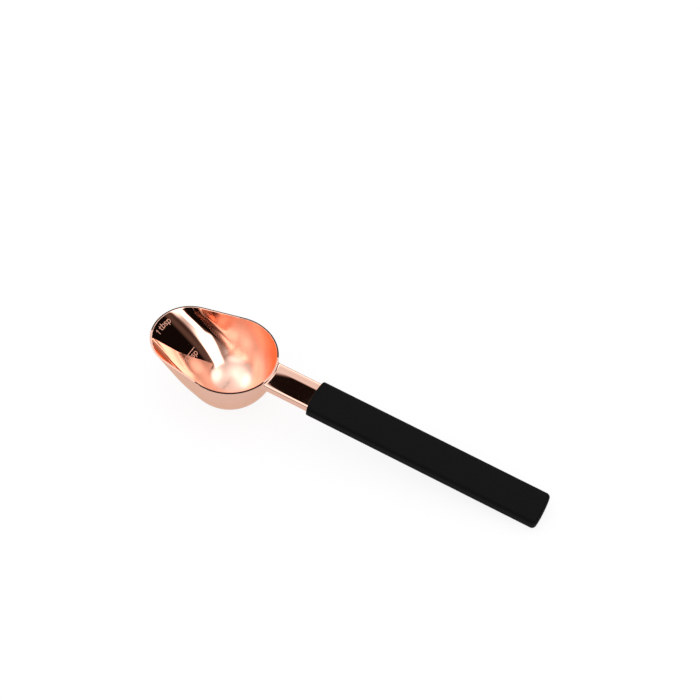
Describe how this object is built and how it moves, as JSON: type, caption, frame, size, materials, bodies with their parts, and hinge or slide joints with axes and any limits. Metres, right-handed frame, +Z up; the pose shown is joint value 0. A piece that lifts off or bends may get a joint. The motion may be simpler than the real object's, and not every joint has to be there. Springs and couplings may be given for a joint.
{
  "type": "coffee scoop",
  "caption": "Measuring scoop for ground coffee: a polished copper-coloured round bowl with a straight pouring ramp, on a flat bar handle with a soft black grip.",
  "frame": {"origin": "on the surface the scoop lies on, under the middle of its overall length and width", "axes": "+X along the scoop from the pouring tip to the end of the grip, +Y across it, +Z up from the surface; the scoop is the same on both sides of the XZ plane"},
  "size_m": [0.1508, 0.0344, 0.0236],
  "materials": {
    "copper_plate": "mirror-polished copper plating on stainless steel",
    "soft_grip": "matt soft-touch black"
  },
  "bodies": {
    "root": {"scoop_bowl": "copper_plate", "handle_bar": "copper_plate", "grip_sleeve": "soft_grip"}
  },
  "joints": []
}
